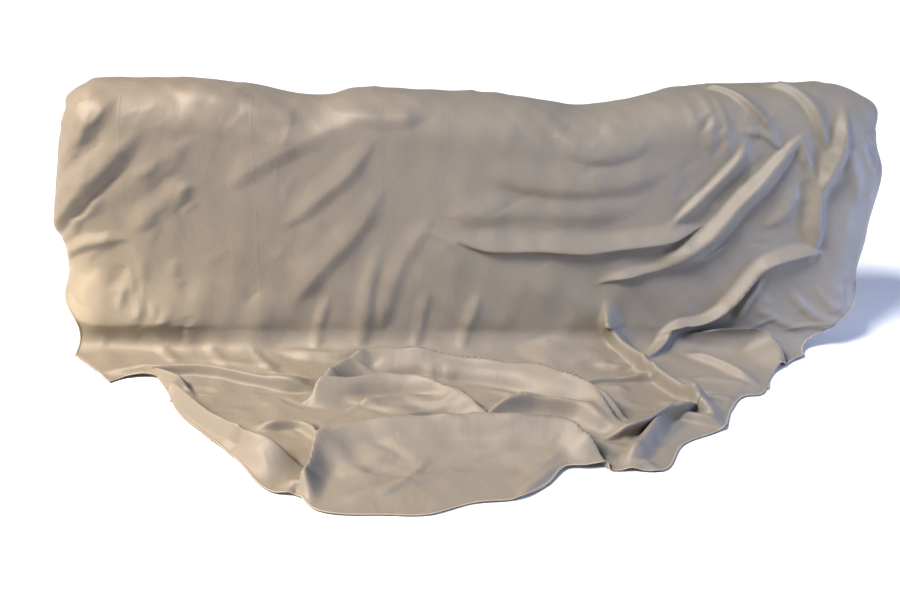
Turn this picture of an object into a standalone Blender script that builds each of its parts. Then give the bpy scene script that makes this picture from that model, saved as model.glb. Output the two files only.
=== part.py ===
"""A chiffon veil draped over a low padded backrest, its front end lying on the floor in folds.

Frame: metres, +Z up, +X to the right as seen from the front, and the front looks along -Y.
The origin is the middle of the backrest's flat underside, on the floor.
The veil is one cut piece of cloth. It shows as four stretches, each its own object: the flap behind
the backrest, the roll over its crest, the fall down its front, and the spread on the floor.
"""

import math

import bpy
import numpy as np

# Driving dimensions, metres and degrees.
CLOTH_WALL = 0.0016
HEM_WALL = 0.0030
HEM_WIDTH = 0.008
SEAM_GAP = 0.0005
BACKREST_CLEARANCE = 0.0009
LEAN = math.radians(11.0)
FRONT_Y = -0.155
BACK_Y = 0.145
CREST_FRONT_RADIUS = 0.095
CREST_BACK_RADIUS = 0.085
FOOT_RADIUS = 0.026
FOOT_BEND_TOP = 0.10
FOOT_BEND_LENGTH = 0.16
VEIL_HALF_SPAN = 0.805
VEIL_END_RADIUS = 0.085
VEIL_END_TURN = math.radians(70.0)
WRAP_HEIGHT = 0.16
BACKREST_HALF_SPAN = 0.790
BACKREST_FOOT_DRAW = 0.130
BACKREST_FOOT_HEIGHT = 0.160
BACKREST_FOOT_ROWS = 2
BACKREST_END_RADIUS = 0.060
END_COLUMNS = 6

# Height of the crest along the backrest: two soft dips where its pads meet.
CREST = (  # across, height
    (-0.90, 0.552),
    (-0.70, 0.554),
    (-0.49, 0.539),
    (-0.375, 0.519),
    (-0.32, 0.516),
    (-0.26, 0.528),
    (-0.11, 0.527),
    (0.07, 0.516),
    (0.16, 0.505),
    (0.24, 0.492),
    (0.34, 0.505),
    (0.47, 0.531),
    (0.60, 0.541),
    (0.74, 0.541),
    (0.90, 0.530),
)

# Height of the veil's back hem along the backrest.
BACK_HEM = (  # across, height
    (-0.90, 0.272),
    (-0.45, 0.291),
    (0.05, 0.268),
    (0.50, 0.286),
    (0.90, 0.263),
)

# How far the side hems stand out past the turn round the backrest's ends, growing over the flare's length.
FLARE_START = 0.68
FLARE_LENGTH = 0.22
LEFT_FLARE = (  # up the cloth, outwards
    (-0.02, 0.002),
    (0.05, 0.014),
    (0.10, 0.036),
    (0.17, 0.044),
    (0.24, 0.036),
    (0.31, 0.045),
    (0.36, 0.034),
    (0.42, 0.014),
    (0.50, -0.004),
    (0.64, -0.004),
)
RIGHT_FLARE = (  # up the cloth, outwards
    (-0.02, 0.004),
    (0.06, 0.004),
    (0.13, -0.004),
    (0.20, -0.014),
    (0.28, -0.004),
    (0.38, 0.008),
    (0.44, 0.016),
    (0.52, -0.002),
    (0.64, -0.004),
)

# Where the side hems run in towards the foot of the fall.
LEFT_EDGE = (  # up the cloth, across
    (-0.02, -0.868),
    (0.050, -0.882),
    (0.120, -0.905),
    (0.180, -0.909),
    (0.260, -0.909),
    (0.640, -0.909),
)
RIGHT_EDGE = (  # up the cloth, across
    (-0.02, 0.732),
    (0.015, 0.755),
    (0.045, 0.805),
    (0.085, 0.862),
    (0.130, 0.895),
    (0.180, 0.909),
    (0.260, 0.909),
    (0.640, 0.909),
)

# The front hem on the floor, from the veil's left corner to its right corner.
FRONT_HEM = (  # across, forward of the crease
    (-0.760, 0.153),
    (-0.738, 0.136),
    (-0.674, 0.133),
    (-0.629, 0.180),
    (-0.590, 0.270),
    (-0.510, 0.356),
    (-0.434, 0.432),
    (-0.346, 0.520),
    (-0.309, 0.527),
    (-0.281, 0.558),
    (-0.149, 0.577),
    (-0.079, 0.577),
    (-0.002, 0.546),
    (0.085, 0.532),
    (0.130, 0.498),
    (0.179, 0.450),
    (0.290, 0.456),
    (0.344, 0.456),
    (0.399, 0.377),
    (0.496, 0.315),
    (0.523, 0.260),
    (0.568, 0.207),
    (0.596, 0.203),
    (0.635, 0.132),
    (0.644, 0.108),
)

# Columns of the cloth, set closer where the folds are.
COLUMN_RUNS = (  # from across, to across, columns
    (0.000, 0.125, 8),
    (0.125, 0.560, 15),
    (0.560, 0.740, 12),
    (0.740, 1.000, 21),
)

# Rows of each stretch.
FLAP_ROWS = 3
BACK_ARC_ROWS = 5
FRONT_ARC_ROWS = 8
FACE_ROWS = 17
FOOT_ROWS = 3
FLOOR_ROWS = 22
FLAP_HEIGHT = 0.18
FLOOR_LENGTH = 0.4
RUN_STEPS = 60
HEM_STEPS = 200
ARC_UP = 0.6
STRETCHES = (  # name, rows
    ("veil_back_flap", FLAP_ROWS + 1),
    ("veil_top_roll", BACK_ARC_ROWS + FRONT_ARC_ROWS + 1),
    ("veil_front_fall", FACE_ROWS + FOOT_ROWS),
    ("veil_spread", FLOOR_ROWS + 1),
)

# The largest folds. "up" is measured up the cloth from the crease at the foot of the backrest, and below
# zero it is the way forward on the floor. Left and right widths are seen along the run of the points.
# A fold's two ends keep a share of its height, and where folds cross they pile up by another share.
FOLD_END_SHARE = 0.3
FOLD_END_SLOPE = 3.0
FOLD_PILE_SHARE = 0.35
FOLDS = (  # name, height, left width, right width, run of (across, up)
    ("left upper ridge", 0.014, 0.050, 0.040, ((-0.74, 0.57), (-0.80, 0.50), (-0.89, 0.43))),
    (
        "left main ridge",
        0.026,
        0.045,
        0.060,
        ((-0.66, 0.50), (-0.735, 0.447), (-0.80, 0.385), (-0.85, 0.34), (-0.91, 0.29)),
    ),
    ("left foot bulge", 0.022, 0.090, 0.080, ((-0.80, 0.17), (-0.82, 0.10), (-0.80, 0.04))),
    ("fan ridge, upper", 0.010, 0.060, 0.060, ((-0.20, 0.52), (-0.31, 0.485), (-0.45, 0.42), (-0.56, 0.38))),
    ("fan ridge, middle", 0.010, 0.060, 0.060, ((-0.15, 0.42), (-0.24, 0.34), (-0.34, 0.24), (-0.38, 0.18))),
    ("fan ridge, lower", 0.012, 0.055, 0.055, ((-0.07, 0.32), (-0.15, 0.21), (-0.21, 0.12), (-0.22, 0.03))),
    ("soft rise by the left dip", 0.010, 0.060, 0.060, ((-0.60, 0.58), (-0.48, 0.54), (-0.40, 0.52))),
    (
        "low swag",
        0.024,
        0.070,
        0.045,
        ((0.04, 0.19), (0.13, 0.222), (0.22, 0.226), (0.30, 0.218), (0.38, 0.23), (0.46, 0.26), (0.52, 0.31)),
    ),
    ("sag by the right dip", 0.014, 0.060, 0.050, ((0.22, 0.54), (0.27, 0.47), (0.33, 0.45), (0.40, 0.48))),
    (
        "pull fold, first",
        0.022,
        0.045,
        0.050,
        ((0.62, 0.51), (0.58, 0.445), (0.53, 0.40), (0.50, 0.36), (0.485, 0.30)),
    ),
    (
        "pull fold, second",
        0.034,
        0.050,
        0.055,
        ((0.72, 0.52), (0.665, 0.45), (0.625, 0.39), (0.595, 0.34), (0.56, 0.285), (0.52, 0.25), (0.43, 0.21)),
    ),
    (
        "pull fold, third",
        0.032,
        0.050,
        0.050,
        ((0.805, 0.60), (0.81, 0.47), (0.785, 0.41), (0.775, 0.33), (0.765, 0.262)),
    ),
    (
        "long ledge to the foot",
        0.032,
        0.060,
        0.050,
        (
            (0.775, 0.258),
            (0.72, 0.247),
            (0.645, 0.212),
            (0.60, 0.150),
            (0.55, 0.095),
            (0.48, 0.055),
            (0.452, 0.010),
            (0.452, -0.040),
        ),
    ),
    ("crest fold, right", 0.018, 0.045, 0.045, ((0.52, 0.62), (0.60, 0.575), (0.645, 0.54), (0.68, 0.51))),
    ("crest fold, far right", 0.014, 0.045, 0.045, ((0.68, 0.60), (0.74, 0.55), (0.765, 0.48))),
    ("right foot bulge", 0.018, 0.060, 0.060, ((0.72, 0.16), (0.78, 0.10), (0.80, 0.03), (0.78, -0.02))),
    (
        "foot fold, left",
        0.020,
        0.034,
        0.045,
        ((-0.74, -0.085), (-0.66, -0.062), (-0.58, -0.048), (-0.47, -0.040), (-0.36, -0.040)),
    ),
    (
        "floor fold, left",
        0.022,
        0.040,
        0.050,
        ((-0.72, -0.115), (-0.576, -0.090), (-0.449, -0.126), (-0.367, -0.148), (-0.31, -0.160)),
    ),
    (
        "floor fold, upper",
        0.034,
        0.050,
        0.045,
        ((-0.25, -0.030), (-0.145, -0.036), (-0.003, -0.060), (0.102, -0.092), (0.173, -0.12), (0.30, -0.20)),
    ),
    (
        "floor fold, second",
        0.028,
        0.050,
        0.050,
        ((-0.29, -0.160), (-0.21, -0.126), (-0.150, -0.115), (-0.10, -0.150), (-0.04, -0.20), (0.02, -0.24)),
    ),
    (
        "floor fold, knot",
        0.030,
        0.045,
        0.045,
        ((0.02, -0.250), (0.07, -0.216), (0.163, -0.213), (0.227, -0.238), (0.285, -0.303)),
    ),
    ("floor fold, knot to the right", 0.030, 0.045, 0.045, ((0.285, -0.303), (0.36, -0.265), (0.49, -0.222))),
    (
        "floor fold, lower",
        0.030,
        0.050,
        0.070,
        (
            (-0.29, -0.400),
            (-0.25, -0.330),
            (-0.12, -0.290),
            (0.02, -0.276),
            (0.15, -0.285),
            (0.20, -0.330),
            (0.29, -0.405),
            (0.33, -0.440),
        ),
    ),
    (
        "floor fold, lower left",
        0.034,
        0.045,
        0.060,
        ((-0.63, -0.150), (-0.56, -0.190), (-0.483, -0.260), (-0.387, -0.327), (-0.295, -0.372)),
    ),
    ("small fold at the front hem", 0.022, 0.040, 0.040, ((-0.31, -0.540), (-0.305, -0.490))),
    (
        "long tube fold",
        0.030,
        0.040,
        0.040,
        ((0.325, 0.060), (0.36, 0.010), (0.416, -0.083), (0.453, -0.158), (0.487, -0.225), (0.505, -0.300)),
    ),
    ("right flap fold", 0.032, 0.050, 0.050, ((0.55, 0.010), (0.64, -0.010), (0.655, -0.060), (0.63, -0.14))),
    ("fold under the knot", 0.024, 0.040, 0.040, ((0.40, -0.270), (0.37, -0.340), (0.34, -0.420))),
)


def along_table(table, place):
    """Smooth value of a two-column table at each place, level past its ends."""
    keys = np.array([row[0] for row in table])
    values = np.array([row[1] for row in table])
    slopes = np.gradient(values, keys)
    place = np.clip(place, keys[0], keys[-1])
    cell = np.clip(np.searchsorted(keys, place) - 1, 0, len(keys) - 2)
    width = keys[cell + 1] - keys[cell]
    part = (place - keys[cell]) / width
    start = (1 + 2 * part) * (1 - part) ** 2
    start_slope = part * (1 - part) ** 2
    end_slope = part**2 * (part - 1)
    return (
        start * values[cell]
        + (1 - start) * values[cell + 1]
        + width * (start_slope * slopes[cell] + end_slope * slopes[cell + 1])
    )


def smooth_run(points, pieces):
    """Points at even lengths along a smooth curve through the given points."""
    points = np.array(points, dtype=float)
    lengths = np.concatenate(([0.0], np.cumsum(np.linalg.norm(np.diff(points, axis=0), axis=1))))
    places = np.linspace(0.0, lengths[-1], pieces)
    tables = [tuple(zip(lengths, points[:, axis])) for axis in range(points.shape[1])]
    return np.stack([along_table(table, places) for table in tables], axis=-1)


def smooth_step(amount):
    amount = np.clip(amount, 0.0, 1.0)
    return amount * amount * (3 - 2 * amount)


def fold_height(across, up):
    """How far the folds lift the cloth off what it lies on."""
    lift = np.zeros_like(across)
    for _name, height, left_width, right_width, points in FOLDS:
        run = smooth_run(points, RUN_STEPS)
        heading = np.gradient(run, axis=0)
        offset = np.stack([across, up], axis=-1)[..., None, :] - run
        distance = np.linalg.norm(offset, axis=-1)
        nearest = np.argmin(distance, axis=-1)
        reach = np.take_along_axis(distance, nearest[..., None], axis=-1)[..., 0]
        side_of = heading[:, 0] * offset[..., 1] - heading[:, 1] * offset[..., 0]
        side = np.take_along_axis(side_of, nearest[..., None], axis=-1)[..., 0]
        width = np.where(side > 0, left_width, right_width)
        bell = 0.5 * (1 + np.cos(np.pi * np.minimum(reach / width, 1.0)))
        place = nearest / (len(run) - 1)
        ease = smooth_step(np.minimum(place, 1 - place) * FOLD_END_SLOPE + FOLD_END_SHARE)
        rise = height * ease * bell
        lift = np.maximum(lift, rise) + FOLD_PILE_SHARE * np.minimum(lift, rise)
    return lift


def upright_stations():
    """The veil's rows from its back hem down to the foot, as (zone, amount)."""
    stations = [("flap", 0.0), ("flap", HEM_WIDTH / FLAP_HEIGHT)]
    stations += [("flap", row / FLAP_ROWS) for row in range(1, FLAP_ROWS + 1)]
    stations += [("back_arc", row / BACK_ARC_ROWS) for row in range(1, BACK_ARC_ROWS + 1)]
    stations += [("front_arc", row / FRONT_ARC_ROWS) for row in range(FRONT_ARC_ROWS + 1)]
    stations += [("face", row / FACE_ROWS) for row in range(1, FACE_ROWS + 1)]
    stations += [("foot", row / FOOT_ROWS) for row in range(1, FOOT_ROWS + 1)]
    return stations


def profile_point(zone, amount, crest, hem, inset):
    """(y, z) on the profile drawn in by inset, and the way its ends draw in, for arrays of crest."""
    front_radius = CREST_FRONT_RADIUS - inset
    back_radius = CREST_BACK_RADIUS - inset
    front = FRONT_Y + inset / math.cos(LEAN)
    crest = crest - inset
    front_centre_z = crest - front_radius
    front_centre_y = front + (front_radius + front_centre_z * math.sin(LEAN)) / math.cos(LEAN)
    back = BACK_Y - inset
    ones = np.ones_like(crest)
    if zone == "flap":
        return back * ones, hem + amount * (crest - back_radius - hem), -ones, 0 * ones
    if zone == "back_arc":
        turn = amount * math.pi / 2
        y = back - back_radius + back_radius * math.cos(turn)
        z = crest - back_radius + back_radius * math.sin(turn)
        return y * ones, z, -math.cos(turn) * ones, -math.sin(turn) * ones
    if zone == "front_arc":
        turn = math.pi / 2 + amount * (math.pi / 2 - LEAN)
        y = front_centre_y + front_radius * math.cos(turn)
        z = front_centre_z + front_radius * math.sin(turn)
        draw = math.pi / 2 + amount * math.pi / 2
        return y, z, -math.cos(draw) * ones, -math.sin(draw) * ones
    face_top = front_centre_z + front_radius * math.sin(LEAN)
    foot_top = FOOT_RADIUS * (1 - math.sin(LEAN))
    if zone == "face":
        z = face_top + amount * (foot_top - face_top)
        return front + z * math.tan(LEAN), z, ones, 0 * ones
    turn = LEAN + amount * (math.pi / 2 - LEAN)
    foot_y = front - FOOT_RADIUS * (1 - math.sin(LEAN)) / math.cos(LEAN)
    y = foot_y + FOOT_RADIUS * math.cos(turn)
    return y * ones, FOOT_RADIUS * (1 - math.sin(turn)) * ones, ones, 0 * ones


def ends_turned(across, y, z, draw_y, draw_z, half_span, end_radius):
    """Turns what lies past the half span round the ends, drawing it in as it goes."""
    past = np.maximum(np.abs(across) - half_span, 0.0)
    turn = past / end_radius
    x = np.sign(across) * (np.minimum(np.abs(across), half_span) + end_radius * np.sin(turn))
    draw = end_radius * (1 - np.cos(turn))
    return np.stack([x, y + draw * draw_y, z + draw * draw_z], axis=-1)


def column_places():
    """Fractions from the left hem to the right hem at which the cloth has its columns."""
    places = []
    for start, end, count in COLUMN_RUNS:
        places += [start + (end - start) * step / count for step in range(count)]
    width = 2 * VEIL_HALF_SPAN + 2 * VEIL_END_RADIUS * VEIL_END_TURN
    rim = HEM_WIDTH / width
    return np.array([0.0, rim] + places[1:] + [1.0 - rim, 1.0])


def edge_across(up, share):
    """Across the cloth at each share of its width, for the height up the cloth."""
    left = along_table(LEFT_EDGE, up)
    right = along_table(RIGHT_EDGE, up)
    return left + share * (right - left)


def flared(points, across, up):
    """Moves the cloth near the side hems outwards, as the flare tables say."""
    near = smooth_step((np.abs(across) - FLARE_START) / FLARE_LENGTH)
    flare = np.where(across < 0, along_table(LEFT_FLARE, up), along_table(RIGHT_FLARE, up))
    points = points.copy()
    points[..., 0] += np.sign(across) * flare * near
    return points


def normals_of(grid):
    """Unit normals of a grid of points, outwards for rows that run from back to front."""
    down = np.gradient(grid, axis=0)
    right = np.gradient(grid, axis=1)
    normal = np.cross(down, right)
    return normal / np.linalg.norm(normal, axis=-1, keepdims=True)


def upright_grid(share):
    """The veil's inner face from its back hem to the foot: places across and up the cloth, and points."""
    rows = []
    for zone, amount in upright_stations():
        up = np.full(len(share), ARC_UP)
        if zone in ("face", "foot"):
            crest = along_table(CREST, edge_across(up, share))
            _y, z, _draw_y, _draw_z = profile_point(zone, amount, crest, crest, 0.0)
            up = z / math.cos(LEAN)
        across = edge_across(up, share)
        crest = along_table(CREST, across)
        y, z, draw_y, draw_z = profile_point(zone, amount, crest, along_table(BACK_HEM, across), 0.0)
        turned = ends_turned(across, y, z, draw_y, draw_z, VEIL_HALF_SPAN, VEIL_END_RADIUS)
        straight = np.stack([across, y * np.ones_like(across), z], axis=-1)
        wrap = smooth_step(up / WRAP_HEIGHT)[..., None]
        rows.append((across, straight + wrap * (turned - straight)))
    across = np.array([row[0] for row in rows])
    grid = np.array([row[1] for row in rows])
    steps = np.linalg.norm(np.diff(grid, axis=0), axis=-1)
    climb = np.cumsum(steps[::-1], axis=0)[::-1]
    up = np.concatenate([climb, np.zeros((1, len(share)))]) - FOOT_RADIUS
    return across, up, flared(grid, across, up)


def floor_grid(share, foot):
    """The veil's underside on the floor, from just past the foot row out to the front hem."""
    hem = smooth_run(FRONT_HEM, HEM_STEPS)
    lengths = np.linspace(0.0, 1.0, len(hem))
    hem_x = np.interp(share, lengths, hem[:, 0])
    hem_y = FRONT_Y - np.interp(share, lengths, hem[:, 1])
    steps = [row / FLOOR_ROWS for row in range(1, FLOOR_ROWS)] + [1.0 - HEM_WIDTH / FLOOR_LENGTH, 1.0]
    rows = []
    for step in steps:
        x = foot[:, 0] + step * (hem_x - foot[:, 0])
        y = foot[:, 1] + step * (hem_y - foot[:, 1])
        rows.append(np.stack([x, y, np.zeros_like(x)], axis=-1))
    return np.array(rows)


def lift_ways(grid, up):
    """Which way a fold stands off: straight out from the backrest, turning to straight up on the floor."""
    turn = LEAN + (math.pi / 2 - LEAN) * smooth_step((FOOT_BEND_TOP - up) / FOOT_BEND_LENGTH)
    bend = np.stack([np.zeros_like(turn), -np.cos(turn), np.sin(turn)], axis=-1)
    out = smooth_step((up - FOOT_RADIUS) / FOOT_BEND_TOP)[..., None]
    ways = out * normals_of(grid) + (1 - out) * bend
    return ways / np.linalg.norm(ways, axis=-1, keepdims=True)


def cloth_faces(share):
    """The whole veil's inner and outer face, lifted by its folds and thick by its wall."""
    across, up, upright = upright_grid(share)
    floor = floor_grid(share, upright[-1])
    grid = np.concatenate([upright, floor])
    across = np.concatenate([across, floor[..., 0]])
    up = np.concatenate([up, floor[..., 1] - FRONT_Y])
    lift = fold_height(across, up)
    inner = grid + lift[..., None] * lift_ways(grid, up)
    wall = np.full(inner.shape[:2], CLOTH_WALL)
    wall[:2] = wall[-2:] = HEM_WALL
    wall[:, :2] = wall[:, -2:] = HEM_WALL
    outer = inner + wall[..., None] * normals_of(inner)
    outer[..., 2] = np.maximum(outer[..., 2], 0.0)
    return inner, outer, lift


def closed_sheet(inner, outer, lift):
    """Vertices and faces of a closed wall between two grids, each cell split along the fold it lies on."""
    rows, columns = inner.shape[:2]
    vertices = np.concatenate([inner.reshape(-1, 3), outer.reshape(-1, 3)])
    other = rows * columns
    level = lift.ravel()
    faces = []
    for row in range(rows - 1):
        for column in range(columns - 1):
            a = row * columns + column
            b, c, d = a + 1, a + columns + 1, a + columns
            split = ((a, b, c), (a, c, d))
            if abs(level[b] - level[d]) < abs(level[a] - level[c]):
                split = ((a, b, d), (b, c, d))
            for first, second, third in split:
                faces.append((first, second, third))
                faces.append((other + third, other + second, other + first))
    rim = list(range(columns))
    rim += [row * columns + columns - 1 for row in range(1, rows)]
    rim += [(rows - 1) * columns + column for column in range(columns - 2, -1, -1)]
    rim += [row * columns for row in range(rows - 2, 0, -1)]
    for place, first in enumerate(rim):
        second = rim[(place + 1) % len(rim)]
        faces.append((second, first, other + first, other + second))
    return vertices, faces


def add_object(name, vertices, faces, material):
    mesh = bpy.data.meshes.new(name)
    mesh.from_pydata([tuple(map(float, point)) for point in vertices], [], faces)
    mesh.materials.append(material)
    mesh.update()
    mesh.shade_smooth()
    mesh.set_sharp_from_angle(angle=math.radians(50.0))
    part = bpy.data.objects.new(name, mesh)
    bpy.context.scene.collection.objects.link(part)
    return part


def plain_material(name, colour, roughness, sheen):
    material = bpy.data.materials.new(name)
    material.use_nodes = True
    shader = material.node_tree.nodes["Principled BSDF"]
    shader.inputs["Base Color"].default_value = (*colour, 1.0)
    shader.inputs["Roughness"].default_value = roughness
    shader.inputs["Metallic"].default_value = 0.0
    shader.inputs["Sheen Weight"].default_value = sheen
    return material


def backrest_row(across, y, z, draw_y, draw_z):
    """One row along the backrest, its ends turned, and drawn in towards the foot."""
    row = ends_turned(across, y, z, draw_y, draw_z, BACKREST_HALF_SPAN, BACKREST_END_RADIUS)
    row[:, 0] -= np.sign(across) * BACKREST_FOOT_DRAW * (
        smooth_step(np.abs(across) / BACKREST_HALF_SPAN) * (1 - smooth_step(row[:, 2] / BACKREST_FOOT_HEIGHT))
    )
    return row


def make_backrest(material):
    """The padded backrest: one smooth block with a round crest, round ends and a flat underside."""
    turn = BACKREST_END_RADIUS * math.pi / 2
    ends = [BACKREST_HALF_SPAN + turn * step / END_COLUMNS for step in range(END_COLUMNS + 1)]
    cloth_columns = edge_across(ARC_UP, column_places())
    middle = list(cloth_columns[np.abs(cloth_columns) < BACKREST_HALF_SPAN])
    across = np.array([-end for end in reversed(ends)] + middle + ends)
    crest = along_table(CREST, across)
    ones = np.ones_like(across)
    none = np.zeros_like(across)
    foot_heights = [BACKREST_FOOT_HEIGHT * row / BACKREST_FOOT_ROWS for row in range(BACKREST_FOOT_ROWS + 1)]
    back = BACK_Y - BACKREST_CLEARANCE
    rows = [backrest_row(across, back * ones, height * ones, -ones, none) for height in foot_heights]
    stations = [("back_arc", row / BACK_ARC_ROWS) for row in range(BACK_ARC_ROWS + 1)]
    stations += [("front_arc", row / FRONT_ARC_ROWS) for row in range(FRONT_ARC_ROWS + 1)]
    for zone, amount in stations:
        y, z, draw_y, draw_z = profile_point(zone, amount, crest, none, BACKREST_CLEARANCE)
        rows.append(backrest_row(across, y, z, draw_y, draw_z))
    front = FRONT_Y + BACKREST_CLEARANCE / math.cos(LEAN)
    for height in reversed(foot_heights):
        leaning = front + height * math.tan(LEAN)
        rows.append(backrest_row(across, leaning * ones, height * ones, ones, none))
    grid = np.array(rows)
    rows_count, columns = grid.shape[:2]
    faces = []
    for row in range(rows_count - 1):
        for column in range(columns - 1):
            a = row * columns + column
            faces.append((a + 1, a, a + columns, a + columns + 1))
    last = (rows_count - 1) * columns
    faces.append(tuple(list(range(columns)) + list(range(last + columns - 1, last - 1, -1))))
    for step in range(rows_count // 2):
        near, far = step, rows_count - 1 - step
        rung = [row * columns for row in (near, near + 1, far - 1, far)]
        faces.append(tuple(dict.fromkeys(reversed(rung))))
        faces.append(tuple(dict.fromkeys(corner + columns - 1 for corner in rung)))
    return add_object("backrest", grid.reshape(-1, 3), faces, material)


def make_veil(material):
    """The veil's four stretches, parted by a seam's gap where one ends and the next begins."""
    inner, outer, lift = cloth_faces(column_places())
    first_row = 0
    for name, rows in STRETCHES:
        last_row = first_row + rows
        under = inner[first_row : last_row + 1].copy()
        over = outer[first_row : last_row + 1].copy()
        if first_row > 0:
            gap = np.cross(np.gradient(under[0], axis=0), over[0] - under[0])
            gap *= SEAM_GAP / np.linalg.norm(gap, axis=-1, keepdims=True)
            under[0] += gap
            over[0] += gap
            under[0, :, 2] = np.maximum(under[0, :, 2], 0.0)
            over[0, :, 2] = np.maximum(over[0, :, 2], 0.0)
        vertices, faces = closed_sheet(under, over, lift[first_row : last_row + 1])
        add_object(name, vertices, faces, material)
        first_row = last_row


for leftover in list(bpy.data.objects):
    bpy.data.objects.remove(leftover, do_unlink=True)

chiffon = plain_material("silver_chiffon", (0.42, 0.38, 0.32), 0.42, 0.3)
padding_cover = plain_material("pale_cotton_cover", (0.72, 0.69, 0.63), 0.85, 0.1)
make_backrest(padding_cover)
make_veil(chiffon)
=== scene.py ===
"""A silky chiffon veil draped over a low padded backrest, its front end spread forward in folds.

Everything is in metres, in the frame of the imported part: +Z up, the front towards -Y.
"""

import math

import bmesh
import bpy
import numpy as np
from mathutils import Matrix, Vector


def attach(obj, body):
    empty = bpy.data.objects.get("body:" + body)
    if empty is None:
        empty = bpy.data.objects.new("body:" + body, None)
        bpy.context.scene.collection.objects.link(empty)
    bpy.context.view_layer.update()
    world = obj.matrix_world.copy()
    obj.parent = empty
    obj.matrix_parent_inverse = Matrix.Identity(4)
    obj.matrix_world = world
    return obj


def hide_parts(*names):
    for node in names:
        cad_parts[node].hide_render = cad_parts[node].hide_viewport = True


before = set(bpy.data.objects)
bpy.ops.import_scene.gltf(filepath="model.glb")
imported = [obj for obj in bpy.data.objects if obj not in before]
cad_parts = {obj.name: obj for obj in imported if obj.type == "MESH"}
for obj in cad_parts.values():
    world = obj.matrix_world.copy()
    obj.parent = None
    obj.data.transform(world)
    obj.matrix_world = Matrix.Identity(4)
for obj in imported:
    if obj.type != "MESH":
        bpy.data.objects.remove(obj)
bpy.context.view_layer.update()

# The veil: one cut piece of silky chiffon, about 1.83 m wide and 1.64 m long. It goes up the back
# of the backrest, over its crest and down its leaning front, and its front end lies spread out.
# The weight of the cloth pulls folds from the upper right, and the loose end lies in soft ridges.
WALL = 0.0009
STAND_OFF = 0.0014
LEAN = math.radians(11.0)
FRONT_Y = -0.155
BACK_Y = 0.145
CREST_FRONT_RADIUS = 0.095
CREST_BACK_RADIUS = 0.085
FOOT_RADIUS = 0.055
HALF_SPAN = 0.805
END_RADIUS = 0.085
WRAP_HEIGHT = 0.16
ARC_UP = 0.6
LOFT = 0.003
SOFT_FLOOR = 0.004
LOWEST_CLOTH = 0.0006
HEM_LIFT = 0.28
HEM_LIFT_REACH = 0.05
TIP_ROOM = 0.03
FLARE_START = 0.68
FLARE_LENGTH = 0.22
FOOT_BEND_TOP = 0.10
FOOT_BEND_LENGTH = 0.16
CLEAR_START = 0.03
CLEAR_LENGTH = 0.10

CREST = (  # across, height of the crest
    (-0.90, 0.552), (-0.70, 0.554), (-0.49, 0.539), (-0.375, 0.519), (-0.32, 0.516), (-0.26, 0.528),
    (-0.11, 0.527), (0.07, 0.516), (0.16, 0.505), (0.24, 0.492), (0.34, 0.505), (0.47, 0.531),
    (0.60, 0.541), (0.74, 0.541), (0.90, 0.530),
)
BACK_HEM = (  # across, height of the back hem
    (-0.90, 0.272), (-0.45, 0.291), (0.05, 0.268), (0.50, 0.286), (0.90, 0.263),
)
LEFT_FLARE = (  # up the cloth, how far the left hem stands out
    (-0.02, 0.002), (0.05, -0.010), (0.10, 0.000), (0.17, 0.014), (0.23, 0.018), (0.29, 0.022),
    (0.33, 0.026), (0.38, 0.018), (0.43, 0.008), (0.50, -0.004), (0.64, -0.004),
)
RIGHT_FLARE = (  # up the cloth, how far the right hem stands out
    (-0.02, 0.004), (0.06, 0.004), (0.13, -0.004), (0.20, -0.014), (0.28, -0.004), (0.38, 0.008),
    (0.44, 0.016), (0.52, -0.002), (0.64, -0.004),
)
LEFT_EDGE = (  # up the cloth, across
    (-0.02, -0.868), (0.050, -0.882), (0.120, -0.905), (0.180, -0.909), (0.260, -0.909),
    (0.640, -0.909),
)
RIGHT_EDGE = (  # up the cloth, across
    (-0.02, 0.732), (0.015, 0.755), (0.045, 0.805), (0.085, 0.862), (0.130, 0.895),
    (0.180, 0.909), (0.260, 0.909), (0.640, 0.909),
)
FRONT_HEM = (  # across, forward of the crease
    (-0.760, 0.153), (-0.738, 0.136), (-0.674, 0.133), (-0.629, 0.180), (-0.590, 0.270),
    (-0.510, 0.356), (-0.434, 0.432), (-0.346, 0.520), (-0.309, 0.527), (-0.281, 0.558),
    (-0.149, 0.577), (-0.079, 0.577), (-0.002, 0.546), (0.085, 0.532), (0.130, 0.498),
    (0.172, 0.452), (0.205, 0.455), (0.290, 0.456), (0.344, 0.456), (0.399, 0.377),
    (0.496, 0.315), (0.523, 0.260), (0.568, 0.207), (0.596, 0.203), (0.635, 0.132), (0.644, 0.108),
)

COLUMNS = 320
FLAP_ROWS = 26
BACK_ARC_ROWS = 26
FRONT_ARC_ROWS = 36
FACE_ROWS = 130
FOOT_ROWS = 18
FLOOR_ROWS = 152
HEM_STEPS = 400
FOLD_STEPS = 150
CREASE_STEPS = 30

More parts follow.
